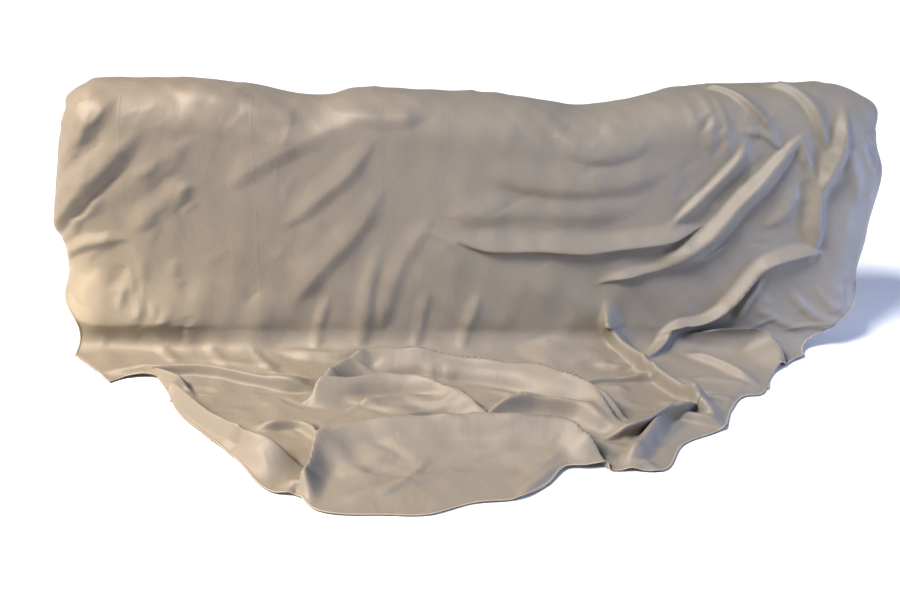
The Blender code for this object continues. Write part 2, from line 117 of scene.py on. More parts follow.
# The folds, in millimetres high and wide. Each run goes from left to right, or upwards where it is
# upright. "up" is up the cloth from the foot of the backrest, and below zero it is forward on the
# floor. Lean tips the crest over its lower side. Crisp makes a sharp crest, or a round tube below
# zero. A fold of negative height is a groove. A pair of sizes is for the run's start and end. Each
# fold eases in and out at its ends, over a length or a share of its run, and narrows there.
FOLD_EASE_LENGTH = 0.10
FOLD_EASE_SHARE = 0.32
FOLD_END_EASE = 0.05
FOLD_END_WIDTH = 0.45
FOLDS = (  # height, upper width, lower width, lean, crisp, run of (across, up)
    # the flap behind the backrest
    (13, 40, 30, 0.2, 0.3, ((-0.76, 0.72), (-0.72, 0.86), (-0.735, 0.98), (-0.71, 1.12))),
    (9, 26, 34, 0.2, 0.4, ((-0.58, 0.8), (-0.61, 0.93), (-0.6, 1.12))),
    (12, 30, 44, 0.2, 0.2, ((-0.28, 0.7), (-0.34, 0.84), (-0.37, 0.97), (-0.36, 1.12))),
    (8, 24, 22, 0.2, 0.4, ((-0.1, 0.84), (-0.13, 0.96), (-0.12, 1.12))),
    (14, 38, 32, 0.2, 0.3, ((0.17, 0.7), (0.12, 0.83), (0.13, 0.96), (0.1, 1.12))),
    (9, 28, 24, 0.2, 0.4, ((0.34, 0.76), (0.36, 0.9), (0.345, 1.12))),
    (12, 34, 40, 0.2, 0.2, ((0.52, 0.72), (0.57, 0.86), (0.555, 0.98), (0.58, 1.12))),
    (9, 26, 22, 0.2, 0.4, ((0.74, 0.78), (0.77, 0.92), (0.76, 1.12))),
    # the left end of the fall
    (6, 44, 34, 0.2, 0.2, ((-0.89, 0.39), (-0.825, 0.462), (-0.797, 0.495), (-0.735, 0.565))),
    ((26, 7), 60, (30, 44), 0.3, 0.2, ((-0.92, 0.22), (-0.875, 0.285), (-0.83, 0.338), (-0.795, 0.378),
        (-0.764, 0.412), (-0.68, 0.49))),
    (-4, 14, 14, 0.0, 0.3, ((-0.85, 0.27), (-0.8, 0.325), (-0.765, 0.365), (-0.72, 0.405))),
    (9, 22, 30, 0.2, 0.3, ((-0.92, 0.21), (-0.865, 0.255), (-0.82, 0.295), (-0.77, 0.35))),
    (9, 26, 20, 0.3, 0.4, ((-0.91, 0.17), (-0.86, 0.215), (-0.8, 0.235), (-0.73, 0.24))),
    ((42, 10), 120, (60, 76), 0.4, -0.1, ((-1.04, 0.04), (-0.92, 0.052), (-0.83, 0.056), (-0.72, 0.046),
        (-0.6, 0.04), (-0.48, 0.024), (-0.38, 0.02))),
    (15, 60, 60, 0.0, 0.0, ((-0.9, 0.52), (-0.9, 0.62), (-0.9, 0.76))),
    (6, 12, 12, 0.2, 0.6, ((-0.745, 0.02), (-0.736, 0.1), (-0.746, 0.18))),
    (4, 10, 12, 0.2, 0.6, ((-0.7, 0.0), (-0.695, 0.08), (-0.69, 0.16))),
    (5, 10, 12, 0.2, 0.6, ((-0.785, 0.04), (-0.772, 0.1), (-0.78, 0.17))),
    (4, 10, 10, 0.2, 0.6, ((-0.665, 0.03), (-0.66, 0.09), (-0.655, 0.14))),
    (5, 14, 12, 0.2, 0.4, ((-0.84, 0.09), (-0.79, 0.125), (-0.73, 0.13))),
    (4, 50, 40, 0.1, 0.2, ((-0.8, 0.3), (-0.72, 0.36), (-0.66, 0.4), (-0.58, 0.46))),
    (6, 40, 30, 0.2, 0.2, ((-0.74, 0.25), (-0.66, 0.31), (-0.57, 0.36))),
    # the fan below the left dip
    (5, 50, 34, 0.2, 0.4, ((-0.55, 0.335), (-0.44, 0.405), (-0.357, 0.447), (-0.29, 0.477),
        (-0.18, 0.515))),
    (6, 44, 30, 0.2, 0.4, ((-0.42, 0.25), (-0.33, 0.325), (-0.27, 0.375), (-0.19, 0.47))),
    (6, 50, 34, 0.2, 0.4, ((-0.4, 0.08), (-0.32, 0.18), (-0.245, 0.26), (-0.17, 0.38))),
    (6, 45, 34, 0.2, 0.4, ((-0.21, 0.0), (-0.18, 0.1), (-0.15, 0.19), (-0.07, 0.31))),
    (7, 34, 28, 0.0, 0.2, ((-0.25, -0.05), (-0.23, 0.06), (-0.222, 0.13), (-0.19, 0.24))),
    (6, 24, 20, 0.1, 0.3, ((-0.345, -0.04), (-0.335, 0.04), (-0.31, 0.12))),
    (6, 26, 22, 0.1, 0.3, ((-0.125, -0.04), (-0.11, 0.04), (-0.09, 0.14))),
    (5, 24, 22, 0.1, 0.3, ((-0.02, -0.04), (0.0, 0.05), (0.03, 0.15))),
    (8, 60, 44, 0.2, 0.1, ((-0.66, 0.575), (-0.55, 0.545), (-0.44, 0.515), (-0.34, 0.49))),
    (8, 40, 30, 0.2, 0.2, ((-0.3, 0.52), (-0.2, 0.5), (-0.08, 0.51))),
    # the swag in the middle
    ((12, 22), (44, 24), (22, 13), 0.8, 0.3, ((-0.04, 0.25), (0.03, 0.238), (0.09, 0.238), (0.15, 0.244),
        (0.255, 0.246), (0.34, 0.263), (0.42, 0.28), (0.52, 0.315))),
    (12, 18, 14, 0.6, 0.5, ((0.27, 0.158), (0.31, 0.178), (0.353, 0.192), (0.434, 0.218), (0.5, 0.235),
        (0.58, 0.285))),
    (7, 50, 34, 0.2, 0.0, ((0.16, 0.52), (0.215, 0.466), (0.265, 0.445), (0.32, 0.452), (0.4, 0.5))),
    (8, 60, 40, 0.2, 0.1, ((0.02, 0.4), (0.14, 0.375), (0.28, 0.38), (0.44, 0.43))),
    (6, 50, 40, 0.2, 0.1, ((-0.06, 0.3), (0.08, 0.315), (0.24, 0.32), (0.38, 0.345))),
    # the folds pulled down from the upper right
    (17, 14, (30, 18), 0.1, 0.8, ((0.42, 0.285), (0.47, 0.34), (0.51, 0.384), (0.546, 0.425),
        (0.575, 0.465), (0.6, 0.53))),
    ((32, 22), (58, 22), (20, 14), -0.2, 0.4, ((0.4, 0.215), (0.475, 0.238), (0.52, 0.268), (0.552, 0.305),
        (0.588, 0.358), (0.63, 0.408), (0.668, 0.462), (0.715, 0.535))),
    (-5, 9, 9, 0.0, 0.3, ((0.45, 0.285), (0.49, 0.312), (0.53, 0.362), (0.57, 0.413), (0.62, 0.462),
        (0.66, 0.51))),
    (27, 36, 14, 0.0, 0.8, ((0.748, 0.235), (0.757, 0.3), (0.753, 0.345), (0.752, 0.4), (0.77, 0.45),
        (0.79, 0.5), (0.8, 0.6))),
    (27, 16, 18, 0.5, 0.7, ((0.36, -0.08), (0.432, -0.01), (0.45, 0.045), (0.469, 0.07), (0.51, 0.082),
        (0.549, 0.108), (0.581, 0.148), (0.612, 0.196), (0.638, 0.232), (0.671, 0.252), (0.716, 0.267),
        (0.8, 0.27))),
    (14, 14, 14, 0.2, 0.5, ((0.6, 0.07), (0.6, 0.1), (0.608, 0.13), (0.65, 0.21))),
    (17, 16, 12, 0.3, 0.8, ((0.45, 0.655), (0.51, 0.637), (0.555, 0.612), (0.59, 0.575), (0.627, 0.535),
        (0.665, 0.485))),
    (14, 26, 16, 0.2, 0.4, ((0.6, 0.67), (0.675, 0.635), (0.716, 0.59), (0.738, 0.546), (0.768, 0.46))),
    (5, 16, 14, 0.2, 0.3, ((0.505, 0.44), (0.516, 0.523), (0.485, 0.63))),
    (6, 16, 14, 0.2, 0.3, ((0.55, 0.44), (0.538, 0.53), (0.515, 0.61))),
    (3, 16, 14, 0.2, 0.2, ((0.47, 0.46), (0.478, 0.51), (0.455, 0.59))),
    (10, 16, 16, 0.2, 0.5, ((0.57, 0.515), (0.618, 0.515), (0.675, 0.475))),
    (12, 16, 20, 0.1, 0.5, ((0.695, 0.54), (0.72, 0.465), (0.752, 0.38))),
    (7, 18, 20, 0.1, 0.4, ((0.79, 0.54), (0.815, 0.44), (0.845, 0.34))),
    (6, 18, 20, 0.1, 0.4, ((0.83, 0.54), (0.85, 0.44), (0.87, 0.36))),
    (14, 60, 60, 0.0, 0.0, ((0.88, 0.52), (0.88, 0.62), (0.88, 0.76))),
    (9, 30, 22, 0.1, 0.3, ((0.63, 0.31), (0.68, 0.35), (0.705, 0.42))),
    (9, 22, 20, 0.1, 0.3, ((0.69, 0.2), (0.75, 0.135), (0.8, 0.09), (0.87, 0.045))),
    (6, 18, 18, 0.1, 0.4, ((0.76, 0.21), (0.8, 0.155), (0.85, 0.11))),
    (6, 20, 18, 0.1, 0.4, ((0.62, 0.145), (0.69, 0.09), (0.76, 0.04))),
    (6, 18, 18, 0.1, 0.4, ((0.7, 0.05), (0.76, 0.075), (0.83, 0.07))),
    # the foot
    (24, 30, 26, 0.4, 0.4, ((-0.8, -0.12), (-0.66, -0.11), (-0.57, -0.113), (-0.499, -0.133),
        (-0.442, -0.152), (-0.359, -0.177), (-0.29, -0.19))),
    (5, 26, 20, 0.2, 0.3, ((-0.72, 0.07), (-0.69, -0.01), (-0.64, -0.075), (-0.6, -0.115))),
    (5, 24, 22, 0.2, 0.3, ((-0.6, 0.06), (-0.575, -0.02), (-0.53, -0.09), (-0.49, -0.14))),
    (6, 22, 20, 0.2, 0.3, ((-0.5, 0.05), (-0.475, -0.03), (-0.43, -0.1), (-0.38, -0.15))),
    (16, 24, 30, 0.1, 0.1, ((-0.44, -0.02), (-0.36, -0.042), (-0.3, -0.05), (-0.23, -0.035),
        (-0.18, -0.02))),
    (16, 70, 60, 0.0, 0.0, ((0.1, -0.03), (0.2, -0.045), (0.28, -0.055), (0.36, -0.04))),
    # the long ridges on the floor
    (50, 16, 60, -0.4, 0.9, ((-0.33, -0.266), (-0.282, -0.186), (-0.253, -0.134), (-0.215, -0.11),
        (-0.158, -0.106), (-0.085, -0.114), (-0.011, -0.126), (0.063, -0.146), (0.134, -0.178),
        (0.183, -0.214), (0.236, -0.251), (0.32, -0.326))),
    (38, 14, 34, -0.3, 0.9, ((0.06, -0.133), (0.12, -0.161), (0.166, -0.193), (0.224, -0.253),
        (0.256, -0.299), (0.31, -0.378))),
    (40, 14, 48, -0.4, 0.9, ((-0.36, -0.251), (-0.29, -0.216), (-0.243, -0.202), (-0.185, -0.186),
        (-0.119, -0.192), (-0.053, -0.232), (0.0, -0.276), (0.06, -0.336))),
    (18, 10, 20, -0.2, 0.8, ((-0.27, -0.275), (-0.225, -0.248), (-0.165, -0.23), (-0.11, -0.227),
        (-0.04, -0.245), (0.05, -0.3))),
    (13, 9, 16, -0.2, 0.8, ((-0.26, -0.335), (-0.205, -0.322), (-0.135, -0.295), (-0.07, -0.27),
        (0.0, -0.265))),
    (11, 9, 14, -0.2, 0.8, ((-0.1, -0.15), (-0.01, -0.166), (0.08, -0.205), (0.13, -0.255))),
    (40, 16, 30, 0.1, 0.85, ((0.0, -0.313), (0.05, -0.274), (0.09, -0.26), (0.125, -0.256), (0.174, -0.265),
        (0.22, -0.283), (0.249, -0.318), (0.3, -0.368))),
    (42, 34, 20, 0.6, 0.6, ((0.235, -0.37), (0.28, -0.346), (0.32, -0.325), (0.36, -0.3), (0.404, -0.276),
        (0.48, -0.24))),
    (16, 16, 14, 0.3, 0.6, ((0.19, -0.185), (0.25, -0.16), (0.327, -0.148), (0.376, -0.146),
        (0.44, -0.165))),
    # the round tube that comes off the foot of the fall
    (38, 26, 18, 0.3, -0.3, ((0.302, 0.135), (0.312, 0.08), (0.322, 0.035), (0.344, -0.03), (0.381, -0.105),
        (0.416, -0.172), (0.451, -0.228), (0.47, -0.268), (0.49, -0.33))),
    # the loose right corner
    (34, 26, 70, -0.3, 0.4, ((0.47, 0.03), (0.535, 0.028), (0.6, 0.025), (0.648, 0.008), (0.668, -0.04),
        (0.675, -0.14))),
    (18, 24, 24, 0.3, 0.4, ((0.47, -0.03), (0.54, -0.08), (0.61, -0.18))),
    # the mound at the front
    (50, 14, 96, -0.4, 0.85, ((-0.29, -0.492), (-0.272, -0.427), (-0.245, -0.39), (-0.18, -0.372),
        (-0.08, -0.362), (0.008, -0.358), (0.096, -0.362), (0.15, -0.366), (0.182, -0.382), (0.21, -0.424),
        (0.24, -0.462), (0.285, -0.487), (0.35, -0.502))),
    (14, 14, 14, 0.0, 0.6, ((-0.33, -0.4), (-0.275, -0.358), (-0.236, -0.338), (-0.17, -0.332),
        (-0.06, -0.332))),
    (42, 34, 12, 0.3, 0.5, ((-0.255, -0.37), (-0.276, -0.44), (-0.292, -0.5), (-0.3, -0.56))),
    (22, 20, 20, 0.2, 0.5, ((-0.43, -0.335), (-0.37, -0.318), (-0.33, -0.318), (-0.3, -0.345),
        (-0.28, -0.39))),
    (26, 22, 22, 0.2, 0.5, ((-0.4, -0.58), (-0.335, -0.535), (-0.317, -0.5), (-0.3, -0.506),
        (-0.28, -0.58))),
    (9, 34, 34, 0.2, 0.3, ((-0.25, -0.56), (-0.13, -0.49), (0.0, -0.43), (0.12, -0.37))),
    (8, 30, 30, 0.2, 0.3, ((-0.06, -0.58), (0.092, -0.49), (0.19, -0.38))),
    (7, 34, 30, 0.2, 0.3, ((-0.24, -0.47), (-0.15, -0.42), (-0.06, -0.38))),
    # the lower left panel
    (50, 16, 84, -0.2, 0.8, ((-0.716, -0.145), (-0.671, -0.17), (-0.628, -0.203), (-0.579, -0.256),
        (-0.524, -0.312), (-0.473, -0.358), (-0.426, -0.393), (-0.373, -0.424), (-0.296, -0.455))),
    (30, 20, 22, 0.0, 0.4, ((-0.76, -0.135), (-0.7, -0.128), (-0.65, -0.148), (-0.612, -0.17),
        (-0.56, -0.22))),
    (16, 26, 26, 0.2, 0.3, ((-0.56, -0.33), (-0.47, -0.39), (-0.38, -0.47))),
    (12, 24, 24, 0.2, 0.3, ((-0.58, -0.25), (-0.53, -0.33), (-0.48, -0.4))),
    # hollows that lie along the ridges
    (-6, 20, 24, 0.0, 0.3, ((-0.26, -0.42), (-0.16, -0.402), (-0.04, -0.392), (0.08, -0.396),
        (0.15, -0.415), (0.2, -0.46))),
    (-6, 22, 20, 0.0, 0.3, ((-0.24, -0.53), (-0.12, -0.475), (0.0, -0.435), (0.11, -0.41))),
    (-5, 20, 18, 0.0, 0.3, ((-0.06, -0.58), (0.05, -0.515), (0.16, -0.445))),
    (-18, 16, 18, 0.0, 0.6, ((-0.24, -0.165), (-0.14, -0.146), (-0.02, -0.162), (0.07, -0.186),
        (0.16, -0.232))),
    (-10, 14, 14, 0.0, 0.5, ((-0.12, -0.112), (0.0, -0.134), (0.1, -0.164), (0.19, -0.222), (0.25, -0.28))),
    (-16, 16, 20, 0.0, 0.6, ((-0.61, -0.235), (-0.54, -0.315), (-0.46, -0.385), (-0.38, -0.44))),
    (-16, 14, 16, 0.0, 0.6, ((-0.28, -0.235), (-0.2, -0.212), (-0.11, -0.218), (-0.03, -0.262))),
    (-6, 10, 10, 0.0, 0.0, ((0.35, -0.01), (0.395, -0.09), (0.435, -0.16), (0.475, -0.24))),
    (-9, 26, 26, 0.0, 0.0, ((0.49, 0.0), (0.56, -0.04), (0.62, -0.11))),
    (-7, 26, 30, 0.0, 0.0, ((-0.74, -0.09), (-0.62, -0.082), (-0.52, -0.1), (-0.43, -0.13))),
    (-7, 24, 24, 0.0, 0.0, ((0.22, -0.09), (0.3, -0.1), (0.37, -0.12))),
    (-16, 12, 16, 0.0, 0.5, ((-0.24, -0.345), (-0.14, -0.33), (-0.02, -0.325), (0.08, -0.33),
        (0.17, -0.345))),
    # the right of the front
    (34, 22, 30, 0.0, 0.3, ((0.275, -0.48), (0.292, -0.425), (0.325, -0.375), (0.365, -0.314),
        (0.4, -0.26))),
    (20, 20, 20, 0.3, 0.5, ((0.36, -0.25), (0.42, -0.282), (0.47, -0.305), (0.55, -0.34))),
    (26, 18, 18, 0.0, 0.5, ((0.245, -0.53), (0.28, -0.465), (0.312, -0.44), (0.345, -0.47))),
    (20, 24, 18, 0.0, 0.3, ((0.055, -0.57), (0.115, -0.495), (0.16, -0.455), (0.2, -0.43))),
)

# Small creases that the folds leave between them: how many, where, which way they run,
# and their size. Each band has its own fixed seed.
CREASE_WIDTHS = (0.010, 0.026)
CREASES = (  # count, seed, across from, across to, up from, up to, heading degrees, spread, length, height
    (26, 3, 0.42, 0.86, 0.33, 0.60, 55, 25, 0.070, 4.0),
    (18, 4, 0.48, 0.86, 0.05, 0.30, 40, 30, 0.060, 3.5),
    (16, 5, -0.88, -0.60, 0.25, 0.56, 45, 18, 0.080, 3.0),
    (22, 6, -0.60, 0.40, 0.08, 0.55, 35, 25, 0.110, 2.0),
    (46, 7, -0.60, 0.55, -0.26, -0.07, -12, 15, 0.130, 8.5),
    (38, 8, -0.55, 0.45, -0.52, -0.26, 10, 20, 0.130, 6.0),
    (16, 9, -0.86, 0.86, 0.60, 0.80, 80, 15, 0.080, 3.0),
    (14, 10, -0.86, 0.86, 0.85, 1.10, 88, 8, 0.120, 4.0),
    (30, 11, 0.80, 0.92, 0.06, 0.60, 78, 28, 0.080, 3.6),
    (24, 12, -0.92, -0.80, 0.18, 0.60, 60, 30, 0.080, 3.2),
    (22, 13, -0.86, -0.62, 0.00, 0.20, 85, 16, 0.060, 4.0),
)
# Low swells of the whole cloth: the way it waves, never the same on two crests.
SWELL_BENDS = (9.0, 13.0)
SWELLS = (  # height in millimetres, wave length, heading degrees, start
    (1.6, 0.31, 20, 0.3), (1.3, 0.19, -35, 1.9), (0.9, 0.12, 62, 4.1), (0.6, 0.075, -12, 2.6),
    (0.45, 0.048, 40, 5.2),
)


def along_table(table, place):
    """Smooth value of a two-column table at each place, level past its ends."""
    keys = np.array([row[0] for row in table])
    values = np.array([row[1] for row in table])
    slopes = np.gradient(values, keys)
    place = np.clip(place, keys[0], keys[-1])
    cell = np.clip(np.searchsorted(keys, place) - 1, 0, len(keys) - 2)
    width = keys[cell + 1] - keys[cell]
    part = (place - keys[cell]) / width
    start = (1 + 2 * part) * (1 - part) ** 2
    curve = start * values[cell] + (1 - start) * values[cell + 1]
    bend = part * (1 - part) ** 2 * slopes[cell] + part**2 * (part - 1) * slopes[cell + 1]
    return curve + width * bend


def smooth_run(points, pieces):
    """Points at even lengths along a smooth curve through the given points."""
    points = np.array(points, dtype=float)
    lengths = np.concatenate(([0.0], np.cumsum(np.linalg.norm(np.diff(points, axis=0), axis=1))))
    places = np.linspace(0.0, lengths[-1], pieces)
    tables = [tuple(zip(lengths, points[:, axis])) for axis in range(points.shape[1])]
    return np.stack([along_table(table, places) for table in tables], axis=-1)


def smooth_step(amount):
    """Eases from 0 to 1, level at both ends."""
    amount = np.clip(amount, 0.0, 1.0)
    return amount * amount * (3 - 2 * amount)


def softened(values):
    """Each value evened out with its neighbours both ways, as the cloth's own stiffness does."""
    for axis in (0, 1):
        values = np.moveaxis(values, axis, 0).copy()
        values[1:-1] = (values[:-2] + 2 * values[1:-1] + values[2:]) / 4
        values = np.moveaxis(values, 0, axis)
    return values


def fold_rise(across, up, height, upper, lower, crisp, run):
    """One fold: its rise at each place, and the way its lower side faces there."""
    rise = np.zeros(across.shape)
    facing = np.zeros(across.shape + (2,))
    reach = max(np.max(upper), np.max(lower))
    low, high = run.min(axis=0) - reach, run.max(axis=0) + reach
    near = (across > low[0]) & (across < high[0]) & (up > low[1]) & (up < high[1])
    if not near.any():
        return rise, facing
    spots = np.stack([across[near], up[near]], axis=-1)
    heading = np.gradient(run, axis=0)
    heading /= np.linalg.norm(heading, axis=-1, keepdims=True)
    offset = spots[:, None, :] - run
    nearest = np.argmin((offset**2).sum(axis=-1), axis=-1)
    offset = offset[np.arange(len(spots)), nearest]
    way = heading[nearest]
    side = way[:, 0] * offset[:, 1] - way[:, 1] * offset[:, 0]
    past = np.where((nearest == 0) | (nearest == len(run) - 1), (way * offset).sum(axis=-1), 0.0)
    away = np.hypot(side, past)
    place = nearest / (len(run) - 1)
    length = np.linalg.norm(np.diff(run, axis=0), axis=-1).sum()
    ease_length = min(FOLD_EASE_SHARE * length, FOLD_EASE_LENGTH)
    ease = smooth_step(np.minimum(place, 1 - place) * length / ease_length + FOLD_END_EASE)
    upper = np.interp(place, (0, 1), np.broadcast_to(upper, 2))
    lower = np.interp(place, (0, 1), np.broadcast_to(lower, 2))
    width = np.where(side > 0, upper, lower) * (FOLD_END_WIDTH + (1 - FOLD_END_WIDTH) * ease)
    ratio = np.clip(away / width, 0.0, 1.0)
    crest = (1 - ratio) ** 2 if crisp > 0 else np.sqrt(1 - ratio**2)
    bell = (1 - abs(crisp)) * 0.5 * (1 + np.cos(np.pi * ratio)) + abs(crisp) * crest
    rise[near] = np.interp(place, (0, 1), np.broadcast_to(height, 2)) * ease * bell
    facing[near] = np.stack([way[:, 1], -way[:, 0]], axis=-1)
    return rise, facing


def lay_folds(across, up):
    """Rise of the cloth off what it lies on, and how far it is tipped across and up."""
    squares = np.zeros(across.shape)
    tip = np.zeros(across.shape + (2,))
    small = np.zeros(across.shape)
    for height, upper, lower, lean, crisp, points in FOLDS:
        run = smooth_run(points, FOLD_STEPS)
        upper, lower = np.array(upper) / 1000, np.array(lower) / 1000
        rise, facing = fold_rise(across, up, np.array(height) / 1000, upper, lower, crisp, run)
        if np.max(height) < 0:
            small += rise
            continue
        squares += rise**2
        tip += (lean * rise)[..., None] * facing
    for count, seed, left, right, bottom, top, heading, spread, length, height in CREASES:
        chance = np.random.default_rng(seed)
        for _crease in range(count):
            middle = np.array([chance.uniform(left, right), chance.uniform(bottom, top)])
            turn = math.radians(heading + chance.normal() * spread)
            half = 0.5 * length * chance.uniform(0.5, 1.3)
            bow = chance.uniform(-0.25, 0.25) * half
            step = np.array([math.cos(turn), math.sin(turn)]) * half
            bowed = middle + np.array([-math.sin(turn), math.cos(turn)]) * bow
            run = smooth_run((middle - step, bowed, middle + step), CREASE_STEPS)
            wide = chance.uniform(*CREASE_WIDTHS)
            tall = height / 1000 * chance.uniform(0.4, 1.0) * chance.choice([-1.0, 1.0])
            rise, _facing = fold_rise(across, up, tall, wide, wide * chance.uniform(0.5, 1.0), 0.2, run)
            small += rise
    for height, length, heading, start in SWELLS:
        turn = math.radians(heading)
        wave = (across * math.cos(turn) + up * math.sin(turn)) * 2 * math.pi / length + start
        bend = np.sin(across * SWELL_BENDS[0] + start * 2) + np.sin(up * SWELL_BENDS[1] + start)
        small += height / 1000 * np.sin(wave + bend)
    rise = softened(np.sqrt(squares) + small) + LOFT
    tip = softened(tip)
    rise = np.where(rise > SOFT_FLOOR, rise, SOFT_FLOOR * np.exp(rise / SOFT_FLOOR - 1))
    return rise + STAND_OFF, tip


def profile_point(zone, amount, crest, hem):
    """(y, z) under the cloth on the backrest, and the way its ends draw in."""
    front_centre_z = crest - CREST_FRONT_RADIUS
    front_centre_y = FRONT_Y + (CREST_FRONT_RADIUS + front_centre_z * math.sin(LEAN)) / math.cos(LEAN)
    ones = np.ones_like(crest)
    if zone == "flap":
        return BACK_Y * ones, hem + amount * (crest - CREST_BACK_RADIUS - hem), -ones, 0 * ones
    if zone == "back_arc":
        turn = amount * math.pi / 2
        y = BACK_Y - CREST_BACK_RADIUS + CREST_BACK_RADIUS * math.cos(turn)
        z = crest - CREST_BACK_RADIUS + CREST_BACK_RADIUS * math.sin(turn)
        return y * ones, z, -math.cos(turn) * ones, -math.sin(turn) * ones
    if zone == "front_arc":
        turn = math.pi / 2 + amount * (math.pi / 2 - LEAN)
        draw = math.pi / 2 + amount * math.pi / 2
        y = front_centre_y + CREST_FRONT_RADIUS * math.cos(turn)
        z = front_centre_z + CREST_FRONT_RADIUS * math.sin(turn)
        return y, z, -math.cos(draw) * ones, -math.sin(draw) * ones
    face_top = front_centre_z + CREST_FRONT_RADIUS * math.sin(LEAN)
    foot_top = FOOT_RADIUS * (1 - math.sin(LEAN))
    if zone == "face":
        z = face_top + amount * (foot_top - face_top)
        return FRONT_Y + z * math.tan(LEAN), z, ones, 0 * ones
    turn = LEAN + amount * (math.pi / 2 - LEAN)
    y = FRONT_Y - FOOT_RADIUS * (1 - math.sin(LEAN)) / math.cos(LEAN) + FOOT_RADIUS * math.cos(turn)
    return y * ones, FOOT_RADIUS * (1 - math.sin(turn)) * ones, ones, 0 * ones


def ends_turned(across, y, z, draw_y, draw_z, half_span, end_radius):
    """Turns what lies past the half span round the backrest's ends, drawing it in as it goes."""
    turn = np.maximum(np.abs(across) - half_span, 0.0) / end_radius
    x = np.sign(across) * (np.minimum(np.abs(across), half_span) + end_radius * np.sin(turn))
    draw = end_radius * (1 - np.cos(turn))
    return np.stack([x, y + draw * draw_y, z + draw * draw_z], axis=-1)


def unit(vectors):
    """The vectors at length 1."""
    return vectors / np.maximum(np.linalg.norm(vectors, axis=-1, keepdims=True), 1e-12)


# The rows of the cloth that stand up: from the back hem over the crest and down to the foot, each
# from the left hem to the right. Above the floor the side hems turn round the backrest's ends.
share = np.linspace(0.0, 1.0, COLUMNS + 1)
zones = {"flap": FLAP_ROWS, "back_arc": BACK_ARC_ROWS, "front_arc": FRONT_ARC_ROWS, "face": FACE_ROWS,
         "foot": FOOT_ROWS}
stations = [(zone, row / rows) for zone, rows in zones.items() for row in range(rows)]
stations.append(("foot", 1.0))
across_rows, base_rows = [], []
for zone, amount in stations:
    up = np.full(len(share), ARC_UP)
    if zone in ("face", "foot"):
        level = along_table(LEFT_EDGE, up) * (1 - share) + along_table(RIGHT_EDGE, up) * share
        _y, z, _draw_y, _draw_z = profile_point(zone, amount, along_table(CREST, level), 0 * level)
        up = z / math.cos(LEAN)
    across = along_table(LEFT_EDGE, up) * (1 - share) + along_table(RIGHT_EDGE, up) * share
    hem = along_table(BACK_HEM, across)
    y, z, draw_y, draw_z = profile_point(zone, amount, along_table(CREST, across), hem)
    turned = ends_turned(across, y, z, draw_y, draw_z, HALF_SPAN, END_RADIUS)
    straight = np.stack([across, y, z], axis=-1)
    wrap = smooth_step(up / WRAP_HEIGHT)[..., None]
    across_rows.append(across)
    base_rows.append(straight + wrap * (turned - straight))
upright = np.array(base_rows)
climb = np.cumsum(np.linalg.norm(np.diff(upright, axis=0), axis=-1)[::-1], axis=0)[::-1]
up_rows = np.concatenate([climb, np.zeros((1, len(share)))]) + upright[-1, :, 1] - FRONT_Y
across_rows = np.array(across_rows)
flare = np.where(across_rows < 0, along_table(LEFT_FLARE, up_rows), along_table(RIGHT_FLARE, up_rows))
flare_share = smooth_step((np.abs(across_rows) - FLARE_START) / FLARE_LENGTH)
upright[..., 0] += np.sign(across_rows) * flare * flare_share

# The rows that lie on the floor, from the foot out to the front hem.
front_hem = smooth_run(FRONT_HEM, HEM_STEPS)
hem_share = np.linspace(0.0, 1.0, HEM_STEPS)
hem_x = np.interp(share, hem_share, front_hem[:, 0])
hem_y = FRONT_Y - np.interp(share, hem_share, front_hem[:, 1])
foot_row = upright[-1]
floor_rows = []
for row in range(1, FLOOR_ROWS + 1):
    step = row / FLOOR_ROWS
    x = foot_row[:, 0] + step * (hem_x - foot_row[:, 0])
    y = foot_row[:, 1] + step * (hem_y - foot_row[:, 1])
    floor_rows.append(np.stack([x, y, np.zeros_like(x)], axis=-1))
spread = np.array(floor_rows)

# The folds are raised off those rows: straight out on the backrest, and straight up on the floor.
# They lie low at the front hem, and aren't tipped near the side hems.
base = np.concatenate([upright, spread])
across = np.concatenate([across_rows, spread[..., 0]])
up = np.concatenate([up_rows, spread[..., 1] - FRONT_Y])
way_right = unit(np.gradient(base, axis=1))
way_down = unit(np.gradient(base, axis=0))
way_out = unit(np.cross(way_down, way_right))
turn = LEAN + (math.pi / 2 - LEAN) * smooth_step((FOOT_BEND_TOP - up) / FOOT_BEND_LENGTH)
bend = np.stack([np.zeros_like(turn), -np.cos(turn), np.sin(turn)], axis=-1)
clear = smooth_step((up - CLEAR_START) / CLEAR_LENGTH)[..., None]
way_out = unit(clear * way_out + (1 - clear) * bend)
rise, tip = lay_folds(across, up)
to_hem = np.linalg.norm(base[-1] - base, axis=-1)
low_hem = HEM_LIFT + (1 - HEM_LIFT) * smooth_step(to_hem / HEM_LIFT_REACH)
rise = STAND_OFF + (rise - STAND_OFF) * low_hem
tip_room = smooth_step(np.minimum(share, 1 - share) / TIP_ROOM)[None, :, None]
tip = tip * tip_room
inner = base + rise[..., None] * way_out
inner += tip[..., :1] * way_right - tip[..., 1:] * way_down
inner[..., 2] = np.maximum(inner[..., 2], LOWEST_CLOTH)
cloth_normal = unit(np.cross(np.gradient(inner, axis=0), np.gradient(inner, axis=1)))
outer = inner + WALL * cloth_normal
cloth_place = np.stack([across, up], axis=-1)


def new_object(name, data):
    """An object of the mesh, lamp or camera, in the scene."""
    piece = bpy.data.objects.new(name, data)
    bpy.context.scene.collection.objects.link(piece)
    return piece


